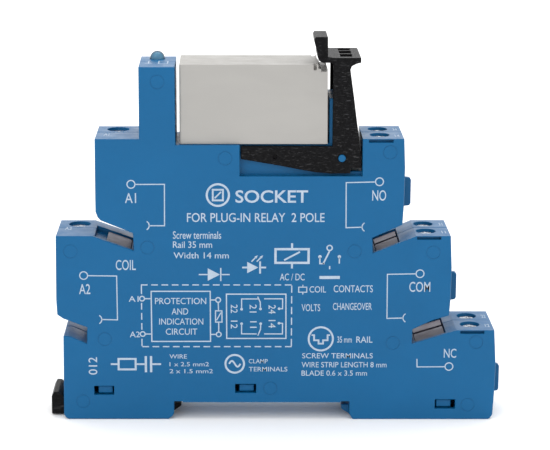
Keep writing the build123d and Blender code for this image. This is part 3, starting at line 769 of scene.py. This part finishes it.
def terminal(p, cx, cy, r, pts, fork, label, box, left):
    """One terminal's ring, its wire, the fork at its end, and its label."""
    p.ring(cx, cy, r)
    p.line(pts)
    if fork:
        x, y = fork
        p.arc(x + (-0.95 if left else 0.95), y, 0.95, -62 if left else 118, 62 if left else 242)
    p.text(label, *box, bold=0.012)


p = Print("legend_lines", **FACE)
terminal(p, -25.81, 44.98, 0.78, [(-24.90, 44.96), (-19.24, 44.98), (-19.28, 36.62), (-22.26, 36.62)], (-22.30, 36.65), "A1", (-27.03, 41.22, -24.83, 43.23), True)
terminal(p, -35.42, 26.45, 0.78, [(-34.51, 26.42), (-28.87, 26.35), (-28.82, 17.30), (-31.93, 17.37)], (-31.95, 17.37), "A2", (-36.38, 22.64, -34.15, 24.70), True)
terminal(p, 22.99, 45.50, 0.78, [(22.08, 45.46), (16.46, 45.32), (16.54, 36.22), (19.68, 36.32)], (19.70, 36.35), "NO", (21.62, 41.68, 24.34, 43.80), False)
terminal(p, 31.35, 26.82, 0.78, [(30.44, 26.80), (24.88, 26.70), (24.95, 17.60), (28.10, 17.68)], (28.14, 17.70), "COM", (29.27, 23.08, 33.45, 25.16), False)
terminal(p, 37.57, 7.55, 0.78, [(36.66, 7.51), (31.17, 7.47), (31.12, 9.17)], None, "NC", (36.48, 9.38, 38.98, 11.28), False)
p.text("COIL", -29.01, 27.56, -25.04, 29.65, bold=0.010)

# the circuit: dashed outline, protection block, coil and the two changeover contacts
for a, b in (((-24.06, 24.52), (5.85, 24.52)), ((5.91, 24.40), (5.91, 11.84)), ((5.97, 11.72), (-23.90, 11.72)), ((-23.98, 13.35), (-23.98, 11.84)),
             ((-23.98, 24.40), (-23.98, 22.62)), ((-23.98, 20.80), (-23.98, 15.25))):
    p.dashes(a, b, 1.35, 0.72, 0.23)
p.line([(-22.05, 23.20), (-10.30, 23.20), (-10.26, 12.82), (-22.00, 12.80)], 0.24, closed=True)
for x, y in ((-23.87, 21.69), (-23.81, 14.35), (-8.73, 21.42), (-8.62, 14.27)):
    p.ring(x, y, 0.48, 0.24, 28)
p.line([(-23.27, 21.68), (-22.17, 21.68)], 0.23)
p.line([(-23.20, 14.35), (-22.12, 14.35)], 0.23)
p.line([(-10.18, 21.42), (-9.33, 21.42)], 0.23)
p.line([(-10.14, 14.27), (-9.22, 14.27)], 0.23)
p.line([(-8.71, 20.82), (-8.66, 19.30)], 0.23)
p.line([(-8.62, 16.70), (-8.62, 14.87)], 0.23)
p.line([(-9.25, 19.17), (-7.98, 19.17), (-7.96, 16.83), (-9.25, 16.83)], 0.22, closed=True)
p.line([(-9.05, 17.20), (-8.18, 18.80)], 0.20)
p.line([(-7.08, 22.62), (4.76, 22.62), (4.82, 13.43), (-7.02, 13.43)], 0.24, closed=True)
p.line([(-4.05, 19.75), (-4.05, 21.63), (-0.80, 21.63)], 0.22)
p.line([(-0.86, 22.10), (-0.34, 20.95), (-0.30, 19.80)], 0.22)
p.line([(0.43, 21.66), (4.11, 21.66), (4.11, 19.62), (3.66, 19.60)], 0.22)
p.line([(-4.05, 16.26), (-4.05, 14.39), (-1.04, 14.37)], 0.22)
p.line([(-0.24, 16.26), (-0.27, 15.36), (-0.80, 14.02)], 0.22)
p.line([(0.46, 14.37), (4.12, 14.37), (4.12, 16.58), (3.66, 16.60)], 0.22)
for x, y in ((-4.05, 19.50), (-0.29, 19.56), (3.42, 19.60), (-4.05, 16.50), (-0.24, 16.50), (3.42, 16.60)):
    p.disc(x, y, 0.27)
for s, bx in (("22", (-6.20, 18.71, -4.86, 20.47)), ("21", (-2.45, 18.82, -1.05, 20.47)), ("24", (1.33, 18.57, 2.74, 20.37)),
              ("12", (-6.20, 15.49, -4.86, 17.14)), ("11", (-2.35, 15.64, -1.05, 17.01)), ("14", (1.35, 15.64, 2.75, 17.26))):
    p.text(s, *bx, turn=-90, bold=0.008)
p.text("A1", -26.53, 21.05, -24.56, 22.23, bold=0.008)
p.text("A2", -26.40, 13.68, -24.37, 14.87, bold=0.008)
for s, bx in (("PROTECTION", (-21.30, 20.55, -11.10, 21.85)), ("AND", (-18.00, 18.40, -14.70, 19.70)),
              ("INDICATION", (-20.50, 16.30, -11.70, 17.60)), ("CIRCUIT", (-19.20, 14.20, -12.90, 15.50))):
    p.text(s, *bx, bold=0.006)

# heading: a coil sign in a ring, and plain words
p.ring(-8.75, 42.82, 2.18, 0.42, 56)
p.line([(-9.75, 41.75), (-7.75, 41.75), (-7.75, 43.89), (-9.75, 43.89)], 0.36, closed=True)
p.line([(-9.38, 42.18), (-8.12, 43.46)], 0.30)
p.text("SOCKET", -5.30, 41.25, 9.00, 43.80, bold=0.040)
p.text("FOR PLUG-IN RELAY  2 POLE", -14.85, 37.36, 12.30, 39.20, bold=0.012)
p.text("Screw terminals", -17.64, 33.95, -8.11, 35.50, bold=0.010)
p.text("Rail 35 mm", -17.65, 32.10, -9.90, 33.45, bold=0.010)
p.text("Width 14 mm", -17.53, 29.95, -6.60, 31.20, bold=0.010)


def diode(x, y, k, turn=0):
    """A diode sign, its lead along the turned axis."""
    c, d = math.cos(math.radians(turn)), math.sin(math.radians(turn))
    q = lambda u, v: (x + (u * c - v * d) * k, y + (u * d + v * c) * k)
    p.line([q(-2.4, 0), q(-1.02, 0)], 0.24)
    p.line([q(1.15, 0), q(2.4, 0)], 0.24)
    p.prism([q(-1.0, -1.0), q(0.9, 0), q(-1.0, 1.0)])
    p.line([q(1.02, -1.05), q(1.02, 1.05)], 0.26)


# plain circuit signs where a socket of this kind carries its marks
diode(-9.50, 26.65, 1.28)
p.line([(-3.95, 28.10), (-2.95, 28.10)], 0.34)
p.line([(-0.20, 28.10), (0.80, 28.10)], 0.34)
p.prism([(-2.95, 26.95), (-0.75, 28.10), (-2.95, 29.25)])
p.line([(-0.40, 26.85), (-0.40, 29.35)], 0.36)
for dx in (0.0, 1.05):
    p.line([(-2.10 + dx, 29.30), (-1.30 + dx, 30.15)], 0.26)
    p.prism([(-1.52 + dx, 30.32), (-1.12 + dx, 29.92), (-0.86 + dx, 30.60)])
p.line([(2.65, 29.05), (9.20, 29.05), (9.20, 31.85), (2.65, 31.85)], 0.46, closed=True)
p.line([(5.92, 32.08), (5.92, 33.05)], 0.40)
p.line([(5.92, 28.82), (5.92, 27.90)], 0.40)
p.line([(4.35, 29.60), (7.50, 31.30)], 0.34)
p.text("AC / DC", 3.55, 25.45, 8.45, 26.85, bold=0.008)
p.ring(13.35, 32.10, 0.52, 0.26, 24)
p.line([(13.35, 31.44), (12.10, 28.85)], 0.30)
p.line([(11.45, 30.15), (11.45, 28.90), (12.40, 28.90)], 0.26)
p.disc(11.45, 30.30, 0.34)
p.line([(15.30, 30.15), (15.30, 28.90)], 0.26)
p.disc(15.30, 30.30, 0.34)
p.line([(13.40, 28.40), (13.40, 27.75)], 0.26)
p.line([(11.40, 26.05), (15.45, 26.05)], 0.62)
p.line([(7.30, 23.02), (8.90, 23.02), (8.90, 24.06), (7.30, 24.06)], 0.20, closed=True)
p.line([(8.12, 24.17), (8.12, 24.55)], 0.20)
p.line([(8.12, 22.91), (8.12, 22.55)], 0.20)
p.text("COIL", 9.45, 22.95, 12.74, 24.25, bold=0.006)
p.text("CONTACTS", 14.25, 23.00, 22.04, 24.45, bold=0.008)
p.text("VOLTS", 7.90, 19.10, 11.60, 20.55, bold=0.008)
p.text("CHANGEOVER", 14.15, 19.35, 21.90, 20.80, bold=0.008)

# lower row
p.text("012", -34.75, 5.85, -33.00, 9.50, turn=90, bold=0.012)
p.line([(-30.30, 8.05), (-28.90, 8.05)], 0.36)
p.line([(-28.72, 6.95), (-25.30, 6.95), (-25.30, 9.15), (-28.72, 9.15)], 0.40, closed=True)
p.line([(-25.12, 8.05), (-23.45, 8.05)], 0.36)
p.line([(-23.25, 6.35), (-23.25, 9.75)], 0.46)
p.line([(-22.20, 6.35), (-22.20, 9.75)], 0.46)
p.line([(-22.00, 8.05), (-20.20, 8.05)], 0.36)
p.text("WIRE", -18.50, 9.22, -15.00, 10.10, bold=0.008)
p.text("1 x 2.5 mm2", -18.50, 7.60, -10.60, 8.48, bold=0.008)
p.text("2 x 1.5 mm2", -18.50, 6.14, -9.80, 7.02, bold=0.008)
p.ring(-5.42, 8.12, 1.86, 0.40, 48)
p.line([(-6.55 + 0.19 * i, 8.12 + 0.62 * math.sin(2 * math.pi * i / 12)) for i in range(13)], 0.34)
p.text("CLAMP", -2.60, 8.22, 1.20, 9.12, bold=0.008)
p.text("TERMINALS", -2.60, 6.52, 5.15, 7.48, bold=0.008)
p.ring(11.79, 13.34, 2.42, 0.38, 56)
p.line([(10.45, 13.95), (10.45, 13.05), (11.35, 13.05), (11.35, 12.35), (12.25, 12.35), (12.25, 13.05), (13.15, 13.05), (13.15, 13.95)], 0.34)
p.line([(9.95, 14.12), (10.62, 14.12)], 0.30)
p.line([(12.98, 14.12), (13.65, 14.12)], 0.30)
p.text("35 mm", 15.10, 12.55, 18.00, 13.85, bold=0.024)
p.text("RAIL", 18.90, 12.55, 22.15, 13.85, bold=0.024)
p.text("SCREW TERMINALS", 8.10, 9.27, 22.25, 10.35, bold=0.010)
p.text("WIRE STRIP LENGTH 8 mm", 8.00, 7.37, 25.05, 8.50, bold=0.010)
p.text("BLADE 0.6 x 3.5 mm", 8.00, 5.62, 21.15, 6.72, bold=0.010)
p.done()


def on_top(name, z, marks):
    """Marks on an upward face, read from the front."""
    q = Print(name, (0, 0, z * MM), (1, 0, 0), (0, 1, 0), (0, 0, 1))
    for m in marks:
        if m[0] == "text":
            q.text(*m[1:6], bold=0.02)
        else:
            q.line(m[1], m[2], closed=m[3])
    return q.done()


on_top("legend_tower_top", 68.2, [
    ("line", [(-20.35, -2.45), (-18.60, -2.45), (-18.60, 0.60), (-20.35, 0.60)], 0.22, True),
    ("line", [(-23.00, 0.60), (-22.35, 0.60), (-22.35, -2.60)], 0.22, False),
    ("line", [(-23.10, -2.60), (-21.70, -2.60)], 0.22, False)])
on_top("legend_top_a1", 54.0, [("text", "A1", -31.30, -3.30, -30.20, -1.10)])
on_top("legend_top_a2", 34.49, [("text", "A2", -39.45, -1.60, -38.10, 0.60)])
on_top("legend_top_no", 54.04, [("text", "14", 26.10, -4.60, 27.00, -2.60), ("text", "24", 26.10, 2.10, 27.00, 4.10)])
on_top("legend_top_com", 34.5, [("text", "11", 35.80, -4.60, 36.60, -2.60), ("text", "21", 35.80, 2.10, 36.60, 4.10)])
on_top("legend_top_nc", 15.12, [("text", "12", 45.00, -4.60, 45.90, -2.60), ("text", "22", 45.00, 2.10, 45.90, 4.10)])


# ---------------------------------------------------------------- floor, light, camera

floor_me = bpy.data.meshes.new("floor")
z0 = cad_low[2] - 0.00002
floor_me.from_pydata([(-3, -3, z0), (3, -3, z0), (3, 3, z0), (-3, 3, z0)], [], [(0, 1, 2, 3)])
floor = bpy.data.objects.new("floor", floor_me)
bpy.context.scene.collection.objects.link(floor)
floor_me.materials.append(floor_white())

world = bpy.data.worlds.new("studio")
world.use_nodes = True
world.node_tree.nodes["Background"].inputs[0].default_value = (1, 1, 1, 1)
world.node_tree.nodes["Background"].inputs[1].default_value = 1.12
bpy.context.scene.world = world


def softbox(name, at, look, size, watts, tint=(1, 1, 1)):
    d = bpy.data.lights.new(name, "AREA")
    d.shape = "RECTANGLE"
    d.size, d.size_y = size
    d.energy = watts
    d.color = tint
    o = bpy.data.objects.new(name, d)
    o.location = at
    o.rotation_euler = (Vector(look) - Vector(at)).to_track_quat("-Z", "Y").to_euler()
    bpy.context.scene.collection.objects.link(o)
    return o


softbox("key", (-0.45, -0.75, 0.62), (0, 0, 0.03), (0.5, 0.5), 1.25)
softbox("fill", (0.70, -0.55, 0.40), (0, 0, 0.03), (0.6, 0.6), 0.5)
softbox("top", (0.0, 0.15, 0.95), (0, 0.05, 0), (0.9, 0.9), 4.2)
softbox("back", (0.0, 1.25, 0.42), (0, 0, 0.06), (2.2, 0.70), 2.6)

cam_data = bpy.data.cameras.new("camera")
cam_data.sensor_width = 36
cam_data.lens = 131.64
cam_data.shift_x = 0.0774
cam_data.clip_start = 0.01
cam = bpy.data.objects.new("camera", cam_data)
cam.location = (-0.00588, -0.39277, 0.12971)
cam.rotation_euler = (math.radians(76.454), 0, 0)
bpy.context.scene.collection.objects.link(cam)
bpy.context.scene.camera = cam
bpy.context.scene.view_settings.view_transform = "Standard"
